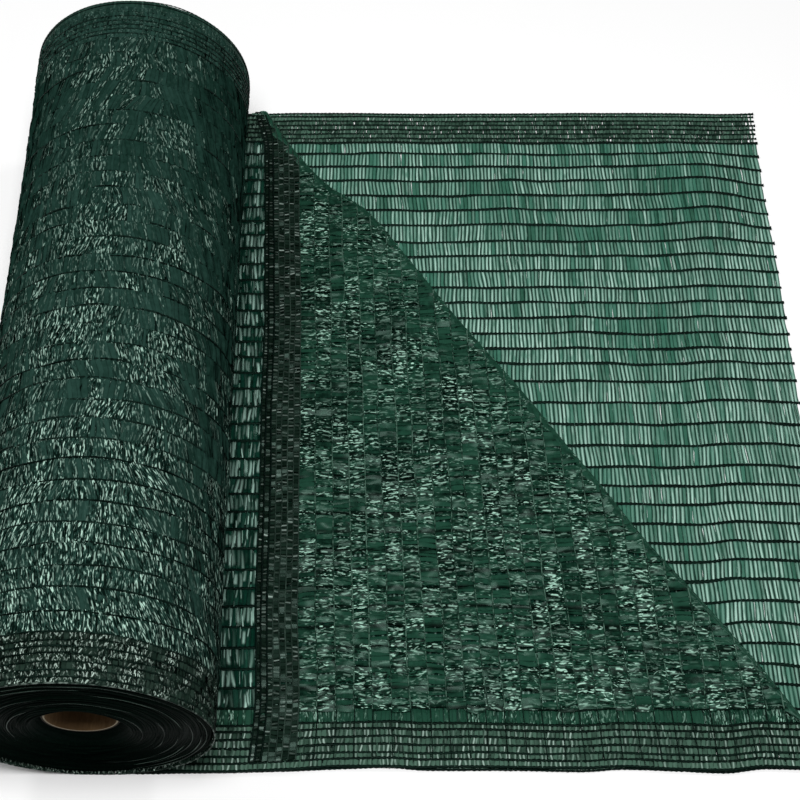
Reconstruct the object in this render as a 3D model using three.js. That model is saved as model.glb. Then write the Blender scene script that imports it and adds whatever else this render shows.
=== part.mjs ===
// Knitted tape shade net, one metre wide, on a cardboard core: a roll with two layers run off its underside.
// The lower layer lies flat to its cut end. The upper layer is turned back over itself along a diagonal fold,
// and its flap comes back to the roll. Millimetres, +Z up, the floor at z = 0, the roll's axis close to +Y,
// origin at the middle of the footprint.
import * as THREE from "three";

// ---- driving dimensions ------------------------------------------------------------------------------------
const CORE = { innerR: 38, outerR: 42, recess: 16.5, segments: 40 };
const ROLL = {
  radius: 144, // outside of the winding
  centreZ: 142, // 2 mm lower than the radius: the soft winding stands on a flat spot about 48 mm wide
  boreR: 42.5,
  segments: 48,
  nearX: -354, // the axis, at the two ends: the roll stands a little askew to the layers
  farX: -368,
  nearY: -503,
  farY: 430, // the net is drawn narrower on the roll than where it lies slack
};
const NET = { thickness: 2.0, layerGap: 0.6 };
const LOWER = { rollOffset: 38, columns: 16, rows: 24 };
const UPPER = { rollOffset: 48, stations: 30, runSteps: 12, flapSteps: 18, bendSteps: 6 };
const FOLD = { innerGap: 0.9, loopGap: 4.2, loopReach: 22, endSetback: 9, apexLength: 14 };

// The winding's ends: how far in from the end plane each radius lies. The rim is soft, and there is a hollow
// round the core, which stands out of the bottom of it.
const END_PROFILE = [
  { r: ROLL.boreR, inset: 24 },
  { r: 53, inset: 1.5 },
  { r: 62, inset: 0.3 },
  { r: 100, inset: 0.8 },
  { r: 126, inset: 0 },
  { r: 140, inset: 1.5 },
];

// Loose turns make the roll uneven: soft swells along it and round it.
const SWELLS = [
  { along: 1.0, round: 2, phase: 0.4, height: 0.9 },
  { along: 2.5, round: 3, phase: 1.9, height: 0.6 },
  { along: 4.0, round: 5, phase: 3.1, height: 0.35 },
];

// Front selvedge of the layers, from the roll to the cut end.
const FRONT_EDGE = [
  { x: -400, y: -500 },
  { x: -208, y: -500 },
  { x: -148, y: -498 },
  { x: -89, y: -495 },
  { x: -29, y: -494 },
  { x: 13, y: -496.5 },
  { x: 77, y: -495 },
  { x: 193, y: -498.5 },
  { x: 240, y: -496 },
  { x: 310, y: -498.5 },
  { x: 356, y: -500 },
  { x: 404, y: -495.5 },
  { x: 442, y: -496.5 },
  { x: 512, y: -498 },
];
// Back selvedge.
const BACK_EDGE = [
  { x: -400, y: 502 },
  { x: -218, y: 502 },
  { x: -160, y: 503 },
  { x: 0, y: 502 },
  { x: 160, y: 503 },
  { x: 330, y: 502 },
  { x: 512, y: 503 },
];
// Cut end of the lower layer.
const CUT_END = [
  { y: -500, x: 510.5 },
  { y: -400, x: 512 },
  { y: -250, x: 511 },
  { y: -100, x: 512 },
  { y: 30, x: 511.5 },
  { y: 160, x: 512 },
  { y: 300, x: 511 },
  { y: 370, x: 509.5 },
  { y: 503, x: 512 },
];
// Where the layers leave the roll: past the end of the winding the net slants out to its full width.
const ROLL_SIDE = [
  { y: -503, out: 0 },
  { y: 418, out: 0 },
  { y: 445, out: 12 },
  { y: 478, out: 48 },
  { y: 503, out: 92 },
];
// The diagonal fold of the upper layer and the free edge of its flap, by distance from the front.
const FOLD_LINE = [
  { y: -500, fold: 496, flapEdge: -187 },
  { y: -421, fold: 443, flapEdge: -182 },
  { y: -373, fold: 412, flapEdge: -184 },
  { y: -289, fold: 352, flapEdge: -188 },
  { y: -209, fold: 292, flapEdge: -189 },
  { y: -133, fold: 243, flapEdge: -191 },
  { y: -71, fold: 201, flapEdge: -193 },
  { y: -1, fold: 155, flapEdge: -195 },
  { y: 71, fold: 104, flapEdge: -196 },
  { y: 138, fold: 57, flapEdge: -198 },
  { y: 227, fold: -1, flapEdge: -202 },
  { y: 312, fold: -60, flapEdge: -206 },
  { y: 361, fold: -118, flapEdge: -208 },
  { y: 433, fold: -172, flapEdge: -212 },
  { y: 503, fold: -212, flapEdge: -230 },
];
// Soft creases and swells of the flap: centre, heading in degrees from +X, half length, half width, height.
const FLAP_CREASES = [
  { x: -60, y: 210, heading: -54, length: 190, width: 26, height: 3.2 },
  { x: 120, y: -60, heading: -54, length: 170, width: 24, height: 2.6 },
  { x: 330, y: -330, heading: -50, length: 150, width: 28, height: 4.0 },
  { x: 20, y: -250, heading: 80, length: 210, width: 40, height: 2.2 },
  { x: 180, y: -380, heading: 12, length: 130, width: 30, height: 2.6 },
  { x: -120, y: 20, heading: 86, length: 260, width: 30, height: 1.8 },
];
// Shallow lifts of the lower layer where it lies alone, clear of the floor.
const LOWER_LIFTS = [
  { x: 400, y: 250, heading: 78, length: 130, width: 34, height: 1.6 },
  { x: 220, y: 330, heading: 20, length: 120, width: 36, height: 1.4 },
  { x: 470, y: -60, heading: 100, length: 120, width: 22, height: 1.8 },
];

// ---- small helpers -----------------------------------------------------------------------------------------
const lerp = THREE.MathUtils.lerp;
const rad = THREE.MathUtils.degToRad;

// Value of one column of a table at a place on its key column: a smooth curve through the rows that never
// swings past them.
function lookUp(table, key, at, column) {
  const rows = [...table].sort((a, b) => a[key] - b[key]);
  const last = rows.length - 1;
  if (at <= rows[0][key]) return rows[0][column];
  if (at >= rows[last][key]) return rows[last][column];
  const slope = (i) => (rows[i + 1][column] - rows[i][column]) / (rows[i + 1][key] - rows[i][key]);
  const tangent = (i) => {
    if (i === 0) return slope(0);
    if (i === last) return slope(last - 1);
    const a = slope(i - 1),
      b = slope(i);
    return a * b <= 0 ? 0 : (2 * a * b) / (a + b);
  };
  const i = rows.findIndex((row, k) => k < last && at <= rows[k + 1][key]);
  const h = rows[i + 1][key] - rows[i][key];
  const t = (at - rows[i][key]) / h;
  const t2 = t * t,
    t3 = t2 * t;
  return (
    (2 * t3 - 3 * t2 + 1) * rows[i][column] +
    (t3 - 2 * t2 + t) * h * tangent(i) +
    (3 * t2 - 2 * t3) * rows[i + 1][column] +
    (t3 - t2) * h * tangent(i + 1)
  );
}

// Height of a table of soft ridges at a point.
function ridges(table, x, y) {
  let z = 0;
  for (const row of table) {
    const c = Math.cos(rad(row.heading)),
      s = Math.sin(rad(row.heading));
    const along = ((x - row.x) * c + (y - row.y) * s) / row.length;
    const across = (-(x - row.x) * s + (y - row.y) * c) / row.width;
    z += row.height * Math.exp(-across * across) * Math.exp(-(along ** 4));
  }
  return z;
}

// A geometry from a grid of rings. Each ring is closed; the grid closes on itself, or its two ends are capped.
function ringsToGeometry(rings, closeEnds) {
  const n = rings[0].length;
  const positions = rings.flat().flatMap((p) => [p.x, p.y, p.z]);
  const index = [];
  const spans = closeEnds === "loop" ? rings.length : rings.length - 1;
  for (let i = 0; i < spans; i++) {
    const a = i * n,
      b = ((i + 1) % rings.length) * n;
    for (let j = 0; j < n; j++) {
      const k = (j + 1) % n;
      index.push(a + j, a + k, b + k, a + j, b + k, b + j);
    }
  }
  if (closeEnds === "strip") {
    // Each end ring is a thin band, walked down one side and back up the other.
    const cap = (base, flip) => {
      for (let j = 0; j < n / 2 - 1; j++) {
        const p = base + j,
          q = base + j + 1,
          r = base + n - 2 - j,
          s = base + n - 1 - j;
        if (flip) index.push(p, r, q, p, s, r);
        else index.push(p, q, r, p, r, s);
      }
    };
    cap(0, true);
    cap((rings.length - 1) * n, false);
  }
  const geometry = new THREE.BufferGeometry();
  geometry.setAttribute("position", new THREE.Float32BufferAttribute(positions, 3));
  geometry.setIndex(index);
  geometry.computeVertexNormals();
  return geometry;
}

const rollX = (y) =>
  lerp(ROLL.nearX, ROLL.farX, THREE.MathUtils.clamp((y - ROLL.nearY) / (ROLL.farY - ROLL.nearY), 0, 1.08));

// ---- core tube ---------------------------------------------------------------------------------------------
function coreTube() {
  const length = Math.hypot(ROLL.farY - ROLL.nearY, ROLL.farX - ROLL.nearX) - 2 * CORE.recess;
  const half = length / 2;
  const profile = [
    new THREE.Vector2(CORE.innerR, -half),
    new THREE.Vector2(CORE.outerR, -half),
    new THREE.Vector2(CORE.outerR, half),
    new THREE.Vector2(CORE.innerR, half),
    new THREE.Vector2(CORE.innerR, -half),
  ];
  return new THREE.LatheGeometry(profile, CORE.segments);
}

// ---- wound roll --------------------------------------------------------------------------------------------
function woundRoll() {
  const stations = [0, 0.06, 0.2, 0.35, 0.5, 0.65, 0.8, 0.94, 1];
  const length = ROLL.farY - ROLL.nearY;
  // One closed outline of radius and place along the axis: near end, along the outside, far end. It is walked
  // backwards, so that its faces look outwards.
  const outline = [];
  for (const row of END_PROFILE) outline.push({ r: row.r, y: ROLL.nearY + row.inset, swell: 0 });
  for (const s of stations) {
    const shoulder = s === 0 ? 6 : s === 1 ? -6 : 0;
    outline.push({ r: ROLL.radius, y: ROLL.nearY + s * length + shoulder, swell: s === 0 || s === 1 ? 0.5 : 1 });
  }
  for (const row of [...END_PROFILE].reverse()) outline.push({ r: row.r, y: ROLL.farY - row.inset, swell: 0 });
  const rings = outline.reverse().map((o) => {
    const ring = [];
    const along = (o.y - ROLL.nearY) / length;
    for (let j = 0; j < ROLL.segments; j++) {
      const a = ((j + 0.5) / ROLL.segments) * 2 * Math.PI;
      // Swells die out towards the underside, which stays true where it stands.
      const keep = 0.5 * (1 + Math.sin(a));
      let r = o.r;
      for (const w of SWELLS)
        r += o.swell * keep * w.height * Math.sin(w.along * 2 * Math.PI * along + w.phase) * Math.cos(w.round * a + w.phase);
      if (o.swell) r -= keep * 0.8;
      ring.push(
        new THREE.Vector3(rollX(o.y) + r * Math.cos(a), o.y, Math.max(0, ROLL.centreZ + r * Math.sin(a))),
      );
    }
    return ring;
  });
  return ringsToGeometry(rings, "loop");
}

// ---- lower layer -------------------------------------------------------------------------------------------
// Place of a point of the lower layer: u from the roll to the cut end, v from the front to the back.
function lowerPlan(u, v) {
  const yFlat = lerp(-498, 502.5, v);
  const left = rollX(yFlat) + LOWER.rollOffset + lookUp(ROLL_SIDE, "y", yFlat, "out");
  const x = lerp(left, lookUp(CUT_END, "y", yFlat, "x"), u);
  const y = lerp(lookUp(FRONT_EDGE, "x", x, "y"), lookUp(BACK_EDGE, "x", x, "y"), v);
  return { x, y };
}

function lowerSheet() {
  const rings = [];
  for (let i = 0; i <= LOWER.rows; i++) {
    const v = i / LOWER.rows;
    const under = [],
      over = [];
    for (let j = 0; j <= LOWER.columns; j++) {
      const { x, y } = lowerPlan(j / LOWER.columns, v);
      // Lifts only where no second layer lies on top.
      const clear = THREE.MathUtils.smoothstep(x - lookUp(FOLD_LINE, "y", y, "fold"), 15, 70);
      const z = clear * ridges(LOWER_LIFTS, x, y);
      under.push(new THREE.Vector3(x, y, z < 0.05 ? 0 : z));
      over.push(new THREE.Vector3(x, y, z + NET.thickness));
    }
    rings.push([...over, ...under.reverse()]);
  }
  return ringsToGeometry(rings, "strip");
}

// ---- upper layer: run, fold and flap -----------------------------------------------------------------------
const RUN_BASE = NET.thickness + NET.layerGap; // underside of the run, over the lower layer

// One hairpin section at a place along the fold: out along the run, round the fold, back along the flap.
function upperSection(v) {
  const t = NET.thickness;
  const yFlat = lerp(-498, 502.5, v);
  const foldX = lookUp(FOLD_LINE, "y", yFlat, "fold");
  const edgeX = Math.min(lookUp(FOLD_LINE, "y", yFlat, "flapEdge"), foldX - FOLD.apexLength);
  const startX = rollX(yFlat) + UPPER.rollOffset + lookUp(ROLL_SIDE, "y", yFlat, "out");
  const loopGap = FOLD.loopGap;
  const loopR = loopGap / 2 + t; // outside of the bend
  const bendX = foldX - loopR;
  // Height of the flap's underside over the top of the run.
  const gapAt = (x, y) => {
    const d = Math.max(0, bendX - x);
    const loop = (loopGap - FOLD.innerGap) * Math.exp(-((d / FOLD.loopReach) ** 2));
    const fade = THREE.MathUtils.smoothstep(d, 10, 60);
    return FOLD.innerGap + loop + fade * ridges(FLAP_CREASES, x, y);
  };
  const yOf = (x, onFlap) => {
    // The flap's cut end stops short of the front selvedge by its setback.
    const front = lookUp(FRONT_EDGE, "x", x, "y") + 1.5 + (onFlap ? FOLD.endSetback * (1 - THREE.MathUtils.smoothstep(x, foldX - 40, foldX)) : 0);
    return lerp(front, lookUp(BACK_EDGE, "x", x, "y") - 0.5, v);
  };
  const outside = [],
    inside = [];
  const push = (list, x, z, onFlap) => list.push(new THREE.Vector3(x, yOf(x, onFlap), z));
  const runEnd = bendX;
  for (let i = 0; i <= UPPER.runSteps; i++) {
    const x = lerp(startX, runEnd, i / UPPER.runSteps);
    push(outside, x, RUN_BASE, false);
    push(inside, x, RUN_BASE + t, false);
  }
  const centreZ = RUN_BASE + t + loopGap / 2;
  for (let i = 1; i < UPPER.bendSteps; i++) {
    const a = -Math.PI / 2 + (i / UPPER.bendSteps) * Math.PI;
    push(outside, bendX + loopR * Math.cos(a), centreZ + loopR * Math.sin(a), i > UPPER.bendSteps / 2);
    push(inside, bendX + (loopGap / 2) * Math.cos(a), centreZ + (loopGap / 2) * Math.sin(a), i > UPPER.bendSteps / 2);
  }
  for (let i = 0; i <= UPPER.flapSteps; i++) {
    // Steps are close by the fold and wider over the flap.
    const s = i / UPPER.flapSteps;
    const x = lerp(bendX, edgeX, s ** 1.3);
    const y = yOf(x, true);
    const under = RUN_BASE + t + gapAt(x, y);
    push(inside, x, under, true);
    push(outside, x, under + t, true);
  }
  return [...inside, ...outside.reverse()];
}

function upperSheet() {
  const rings = [];
  for (let i = 0; i <= UPPER.stations; i++) rings.push(upperSection(i / UPPER.stations));
  return ringsToGeometry(rings, "strip");
}

// ---- scene graph -------------------------------------------------------------------------------------------
const netOnRoll = new THREE.MeshStandardMaterial({ color: 0x17372b, roughness: 0.5, metalness: 0 });
const netSingle = new THREE.MeshStandardMaterial({ color: 0x4f8a70, roughness: 0.45, metalness: 0 });
const netFolded = new THREE.MeshStandardMaterial({ color: 0x1f4a3a, roughness: 0.48, metalness: 0 });
const cardboard = new THREE.MeshStandardMaterial({ color: 0x8a6440, roughness: 0.9, metalness: 0 });

function named(name, geometry, material) {
  const mesh = new THREE.Mesh(geometry, material);
  mesh.name = name;
  return mesh;
}

const shadeNet = new THREE.Group();

const core = named("core_tube", coreTube(), cardboard);
core.position.set((ROLL.nearX + ROLL.farX) / 2, (ROLL.nearY + ROLL.farY) / 2, ROLL.centreZ);
core.rotation.z = Math.atan2(-(ROLL.farX - ROLL.nearX), ROLL.farY - ROLL.nearY);
shadeNet.add(core);

shadeNet.add(named("wound_roll", woundRoll(), netOnRoll));
shadeNet.add(named("lower_sheet", lowerSheet(), netSingle));
shadeNet.add(named("upper_sheet", upperSheet(), netFolded));

export default shadeNet;
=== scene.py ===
"""Looks of a knitted tape shade net: a wound roll with two layers run off its underside.

The net is built as the real one is knitted: chain-stitched ribs run along it, and flat plastic tapes cross
from rib to rib. Each layer has its own map from the flat net (s along the ribs, t across them, h off the
layer) to where it lies, so the same knitting serves the roll, the lower layer, and the run and flap of the
upper layer. Numbers are in millimetres up to the mesh, which is in metres.
"""
import math

import bpy
import numpy as np
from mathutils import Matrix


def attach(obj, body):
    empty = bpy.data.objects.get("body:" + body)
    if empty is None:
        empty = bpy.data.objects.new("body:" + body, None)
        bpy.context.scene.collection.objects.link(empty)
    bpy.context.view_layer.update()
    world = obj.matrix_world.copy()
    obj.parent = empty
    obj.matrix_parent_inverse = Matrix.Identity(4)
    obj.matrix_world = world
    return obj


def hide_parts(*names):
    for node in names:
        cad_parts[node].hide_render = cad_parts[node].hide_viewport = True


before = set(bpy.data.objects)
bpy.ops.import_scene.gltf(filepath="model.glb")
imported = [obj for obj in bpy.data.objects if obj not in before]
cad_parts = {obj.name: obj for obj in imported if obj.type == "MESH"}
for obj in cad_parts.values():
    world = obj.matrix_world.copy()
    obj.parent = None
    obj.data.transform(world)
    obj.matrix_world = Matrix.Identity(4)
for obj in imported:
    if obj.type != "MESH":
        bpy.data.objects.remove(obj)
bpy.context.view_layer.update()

# ------------------------------------------------------------------------------------------------------------
# Sizes shared with the construction
# ------------------------------------------------------------------------------------------------------------
CORE_OUT = 42.0
ROLL_R, ROLL_Z = 144.0, 142.0
NEAR_X, FAR_X, NEAR_Y, FAR_Y = -354.0, -368.0, -503.0, 430.0
T = 2.0
RUN_BASE = 2.6
LOOP_GAP, INNER_GAP, LOOP_REACH, END_SETBACK = 4.2, 0.9, 22.0, 9.0

FRONT_EDGE = ((-400, -500), (-208, -500), (-148, -498), (-89, -495), (-29, -494), (13, -496.5), (77, -495),
              (193, -498.5), (240, -496), (310, -498.5), (356, -500), (404, -495.5), (442, -496.5), (512, -498))
BACK_EDGE = ((-400, 502), (-218, 502), (-160, 503), (0, 502), (160, 503), (330, 502), (512, 503))
CUT_END = ((-500, 510.5), (-400, 512), (-250, 511), (-100, 512), (30, 511.5), (160, 512), (300, 511),
           (370, 509.5), (503, 512))
ROLL_SIDE = ((-503, 0), (418, 0), (445, 12), (478, 48), (503, 92))
FOLD = ((-500, 496), (-421, 443), (-373, 412), (-289, 352), (-209, 292), (-133, 243), (-71, 201), (-1, 155),
        (71, 104), (138, 57), (227, -1), (312, -60), (361, -118), (433, -172), (503, -212))
FLAP_EDGE = ((-500, -187), (-421, -182), (-373, -184), (-289, -188), (-209, -189), (-133, -191), (-71, -193),
             (-1, -195), (71, -196), (138, -198), (227, -202), (312, -206), (361, -208), (433, -212), (503, -230))
FLAP_CREASES = ((-60, 210, -54, 190, 26, 3.2), (120, -60, -54, 170, 24, 2.6), (330, -330, -50, 150, 28, 4.0),
                (20, -250, 80, 210, 40, 2.2), (180, -380, 12, 130, 30, 2.6), (-120, 20, 86, 260, 30, 1.8))
LOWER_LIFTS = ((400, 250, 78, 130, 34, 1.6), (220, 330, 20, 120, 36, 1.4), (470, -60, 100, 120, 22, 1.8))
SWELLS = ((1.0, 2, 0.4, 0.9), (2.5, 3, 1.9, 0.6), (4.0, 5, 3.1, 0.35))
END_PROFILE = ((42.5, 24), (53, 1.5), (62, 0.3), (100, 0.8), (126, 0), (140, 1.5), (144, 6))


def look(table, at):
    """A smooth curve through a table's rows that never swings past them."""
    a = np.array(table, float)
    x, y = a[:, 0], a[:, 1]
    at = np.clip(np.asarray(at, float), x[0], x[-1])
    d = np.diff(y) / np.diff(x)
    m = np.empty_like(y)
    m[0], m[-1] = d[0], d[-1]
    p, q = d[:-1], d[1:]
    m[1:-1] = np.where(p * q <= 0, 0.0, 2 * p * q / np.where(np.abs(p + q) < 1e-12, 1.0, p + q))
    i = np.clip(np.searchsorted(x, at, side="right") - 1, 0, len(x) - 2)
    h = x[i + 1] - x[i]
    t = (at - x[i]) / h
    return ((2 * t**3 - 3 * t**2 + 1) * y[i] + (t**3 - 2 * t**2 + t) * h * m[i]
            + (3 * t**2 - 2 * t**3) * y[i + 1] + (t**3 - t**2) * h * m[i + 1])


def smooth(x, a, b):
    t = np.clip((np.asarray(x, float) - a) / (b - a), 0, 1)
    return t * t * (3 - 2 * t)


def ridges(table, x, y):
    z = np.zeros(np.broadcast(x, y).shape)
    for cx, cy, heading, length, width, height in table:
        c, s = math.cos(math.radians(heading)), math.sin(math.radians(heading))
        along = ((x - cx) * c + (y - cy) * s) / length
        across = (-(x - cx) * s + (y - cy) * c) / width
        z = z + height * np.exp(-across**2) * np.exp(-along**4)
    return z


def waves(seed, shortest, longest, count=7, stretch=1.0):
    """A smooth random field of x and y, about 1 in size: a sum of plane waves. stretch above 1 makes it longer in y."""
    r = np.random.default_rng(seed)
    angle = r.uniform(0, math.pi, count)
    k = 2 * math.pi / np.exp(r.uniform(math.log(shortest), math.log(longest), count))
    kx, ky, phase = k * np.cos(angle), k * np.sin(angle) / stretch, r.uniform(0, 2 * math.pi, count)

    def at(x, y):
        x, y = np.broadcast_arrays(np.asarray(x, float), np.asarray(y, float))
        out = np.zeros(x.shape)
        for a, b, c in zip(kx, ky, phase):
            out += np.sin(a * x + b * y + c)
        return out / math.sqrt(count / 2)

    return at


# ------------------------------------------------------------------------------------------------------------
# Maps: where a point of each layer lies
# ------------------------------------------------------------------------------------------------------------
def roll_x(y):
    return NEAR_X + (FAR_X - NEAR_X) * np.clip((y - NEAR_Y) / (FAR_Y - NEAR_Y), 0, 1.08)


def edge_y(x, t, front_in=0.0, back_in=0.0):
    """Distance from the front of a point t across the net, between its two wavy selvedges."""
    v = (t + 498.0) / 1000.5
    front, back = look(FRONT_EDGE, x) + front_in, look(BACK_EDGE, x) - back_in
    return front + (back - front) * v


rib_drift = waves(11, 130, 420, 8, 0.6)
rib_jog = waves(12, 45, 120, 8, 0.35)


def sag(x, t):
    """How the ribs of the loose end bow: up to a crest short of the cut end, then down to it."""
    far = np.exp(-(((t - 360) / 110) ** 2)) * smooth(445 - t, 0, 25) + 0.25 * smooth(440 - t, 0, 60)
    mid = 2.5 * smooth(x, 300, 480) * np.exp(-(((t - 30) / 140) ** 2))
    near_fold = 2.0 * np.exp(-(((x - 50) / 90) ** 2)) * smooth(t, 60, 150) * smooth(t, 420, 330)
    return far * (4.0 * np.exp(-(((x - 420) / 70) ** 2)) - 7.5 * smooth(x, 425, 515)) + mid - near_fold


def lower_map(s, t, h):
    calm = smooth(t, 505, 440) * smooth(t, -500, -440)
    y = edge_y(s, t) + calm * (0.7 * rib_drift(s, t) + 0.4 * rib_jog(s, t)) + sag(s, t)
    y = y + (1 - calm) * 0.5 * rib_drift(s, t)
    clear = smooth(s - look(FOLD, y), 15, 70)
    z = 1.0 + clear * ridges(LOWER_LIFTS, s, y) + h
    return np.stack([s, y, np.maximum(z, 0.12)], -1)


run_drift = waves(21, 130, 420, 8, 0.6)


def run_map(s, t, h):
    y = edge_y(s, t, 1.5, 0.5) + 0.8 * run_drift(s, t) + 3.5 * smooth(s, -230, -20) * smooth(t, -150, -50) * smooth(t, 430, 380)
    y = y - 4.0 * smooth(s, -200, -110) * smooth(t, -448, -385) * smooth(t, 50, -150)
    return np.stack([s, y, RUN_BASE + T / 2 + h], -1)


def bend_x(y):
    return look(FOLD, y) - (LOOP_GAP / 2 + T)


def flap_height(x, y):
    """Height of the middle of the flap."""
    d = np.maximum(0, bend_x(y) - x)
    loop = (LOOP_GAP - INNER_GAP) * np.exp(-((d / LOOP_REACH) ** 2))
    return RUN_BASE + T + INNER_GAP + loop + smooth(d, 10, 60) * ridges(FLAP_CREASES, x, y) + T / 2


def flap_map(s, t, h):
    """s is the distance from the front here, and t runs across, because the flap's ribs run from front to back."""
    return np.stack([t, s, flap_height(t, s) + h], -1)


def roll_radius(angle, y):
    keep = 0.5 * (1 + np.sin(angle))
    along = (y - NEAR_Y) / (FAR_Y - NEAR_Y)
    r = np.full(np.broadcast(angle, y).shape, ROLL_R)
    for w_along, w_round, phase, height in SWELLS:
        r = r + keep * height * np.sin(w_along * 2 * math.pi * along + phase) * np.cos(w_round * angle + phase)
    return r - keep * 0.8 + 2.0 * smooth(y, FAR_Y - 110, FAR_Y)


def make_roll_map(inset):
    def at(s, t, h):
        """s goes round the roll, t along it from the near end."""
        angle = s / ROLL_R
        r = roll_radius(angle, t) - inset + h
        return np.stack([roll_x(t) + r * np.cos(angle), t + 0 * s, np.maximum(ROLL_Z + r * np.sin(angle), 0.2)], -1)
    return at


# ------------------------------------------------------------------------------------------------------------
# Meshes from arrays
# ------------------------------------------------------------------------------------------------------------
def mesh_object(name, verts, quads, materials, kinds, body="root", marks=None, sharp=False):
    me = bpy.data.meshes.new(name)
    me.vertices.add(len(verts))
    me.vertices.foreach_set("co", (np.asarray(verts, float) / 1000).astype(np.float32).ravel())
    quads = np.asarray(quads, np.int32)
    me.loops.add(quads.size)
    me.loops.foreach_set("vertex_index", quads.ravel())
    me.polygons.add(len(quads))
    me.polygons.foreach_set("loop_start", np.arange(0, quads.size, 4, dtype=np.int32))
    me.update(calc_edges=True)
    me.polygons.foreach_set("use_smooth", np.full(len(quads), not sharp))
    for material in materials:
        me.materials.append(material)
    me.polygons.foreach_set("material_index", np.asarray(kinds, np.int32))
    for key, values in (marks or {}).items():
        a = me.attributes.new(key, "FLOAT", "POINT")
        a.data.foreach_set("value", np.asarray(values, np.float32).ravel())
    me.validate()
    o = bpy.data.objects.new(name, me)
    bpy.context.scene.collection.objects.link(o)
    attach(o, body)
    print("piece", name, 2 * len(quads), "triangles")
    return o


TAPE_MARKS = ("tone", "side", "along", "shine", "seed", "under")


class Batch:
    """Collects many strips and tubes into one mesh. kind is which of the mesh's materials the next grids take."""

    def __init__(self, keys=TAPE_MARKS):
        self.keys, self.kind = keys, 0
        self.verts, self.quads, self.kinds, self.marks, self.count = [], [], [], {k: [] for k in keys}, 0

    def grid(self, points, around=False, **marks):
        """points is (n, S, C, 3): n grids, S stations long and C points across."""
        n, S, C, _ = points.shape
        base = self.count + np.arange(n)[:, None, None] * (S * C)
        i, j = np.arange(S - 1)[None, :, None], np.arange(C if around else C - 1)[None, None, :]
        k = (j + 1) % C
        a, b = base + i * C + j, base + i * C + k
        self.quads.append(np.stack([a, b, b + C, a + C], -1).reshape(-1, 4))
        self.kinds.append(np.full(len(self.quads[-1]), self.kind))
        self.verts.append(points.reshape(-1, 3))
        for key in self.keys:
            v = np.asarray(marks.get(key, 0.0), float)
            v = np.broadcast_to(v.reshape((n,) + (1,) * 2) if v.ndim == 1 else v, (n, S, C))
            self.marks[key].append(v.reshape(-1))
        self.count += n * S * C

    def build(self, name, *materials, **kw):
        return mesh_object(name, np.concatenate(self.verts), np.concatenate(self.quads), materials,
                           np.concatenate(self.kinds), marks={k: np.concatenate(v) for k, v in self.marks.items()}, **kw)


def strips(batch, where, made, across=3, veil=None):
    """Flat tapes from knit(): the middle line, how high it lies, how wide it is, how it is turned about its own length,
    and how much it is hollowed.
    veil says how strongly painted shade, for something dark below showing through, marks a place."""
    cs, ct, height, width, twist, curl, tone, shine, seed = made
    ds, dt = np.gradient(cs, axis=1), np.gradient(ct, axis=1)
    size = np.hypot(ds, dt) + 1e-9
    bs, bt = dt / size, -ds / size
    e = np.linspace(-0.5, 0.5, across)[None, None, :]
    bow = curl[..., None] * (1 - (2 * e) ** 2)
    c, s = np.cos(twist)[..., None], np.sin(twist)[..., None]
    flat, up = e * width[..., None] * c - bow * s, e * width[..., None] * s + bow * c
    at_s, at_t = cs[..., None] + bs[..., None] * flat, ct[..., None] + bt[..., None] * flat
    points = where(at_s, at_t, height[..., None] + up)
    n, S = cs.shape
    under = 0.0 if veil is None else veil(at_s, at_t)
    batch.grid(points, tone=tone, side=np.broadcast_to(e * 2, (n, S, across)), shine=shine, seed=seed, under=under,
               along=np.broadcast_to(np.linspace(0, 1, S)[None, :, None], (n, S, across)))


def cords(batch, where, s, t, h, radius, flat=0.75, sides=5, shade=None):
    """Round cords. s, t, h and radius are (n, S)."""
    ds, dt = np.gradient(s, axis=1), np.gradient(t, axis=1)
    size = np.hypot(ds, dt) + 1e-9
    bs, bt = dt / size, -ds / size
    a = (np.arange(sides) + 0.5) / sides * 2 * math.pi
    out, up = np.cos(a)[None, None, :] * radius[..., None], np.sin(a)[None, None, :] * radius[..., None] * flat
    points = where(s[..., None] + bs[..., None] * out, t[..., None] + bt[..., None] * out, h[..., None] + up)
    batch.grid(points, around=True, tone=0.5 if shade is None else shade[..., None])


# ------------------------------------------------------------------------------------------------------------
# Materials
# ------------------------------------------------------------------------------------------------------------
def node(nt, kind, x=0, y=0, **values):
    n = nt.nodes.new(kind)
    n.location = (x, y)
    for key, v in values.items():
        if hasattr(n, key):
            setattr(n, key, v)
        else:
            n.inputs[key.replace("_", " ")].default_value = v
    return n


def colour_ramp(nt, source, stops, x=0, y=0):
    n = nt.nodes.new("ShaderNodeValToRGB")
    n.location = (x, y)
    while len(n.color_ramp.elements) < len(stops):
        n.color_ramp.elements.new(0.5)
    for e, (pos, col) in zip(n.color_ramp.elements, stops):
        e.position, e.color = pos, (*col, 1)
    nt.links.new(source, n.inputs[0])
    return n


def new_material(name):
    m = bpy.data.materials.new(name)
    m.use_nodes = True
    m.node_tree.nodes.clear()
    return m, m.node_tree


def calc(nt, op, *args):
    n = nt.nodes.new("ShaderNodeMath")
    n.operation = op
    for i, a in enumerate(args):
        if isinstance(a, (int, float)):
            n.inputs[i].default_value = a
        else:
            nt.links.new(a, n.inputs[i])
    return n.outputs[0]


def ease(nt, value, low, high, start=0.0, end=1.0):
    n = nt.nodes.new("ShaderNodeMapRange")
    n.interpolation_type = "SMOOTHSTEP"
    nt.links.new(value, n.inputs["Value"])
    n.inputs["From Min"].default_value, n.inputs["From Max"].default_value = low, high
    n.inputs["To Min"].default_value, n.inputs["To Max"].default_value = start, end
    return n.outputs["Result"]


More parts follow.
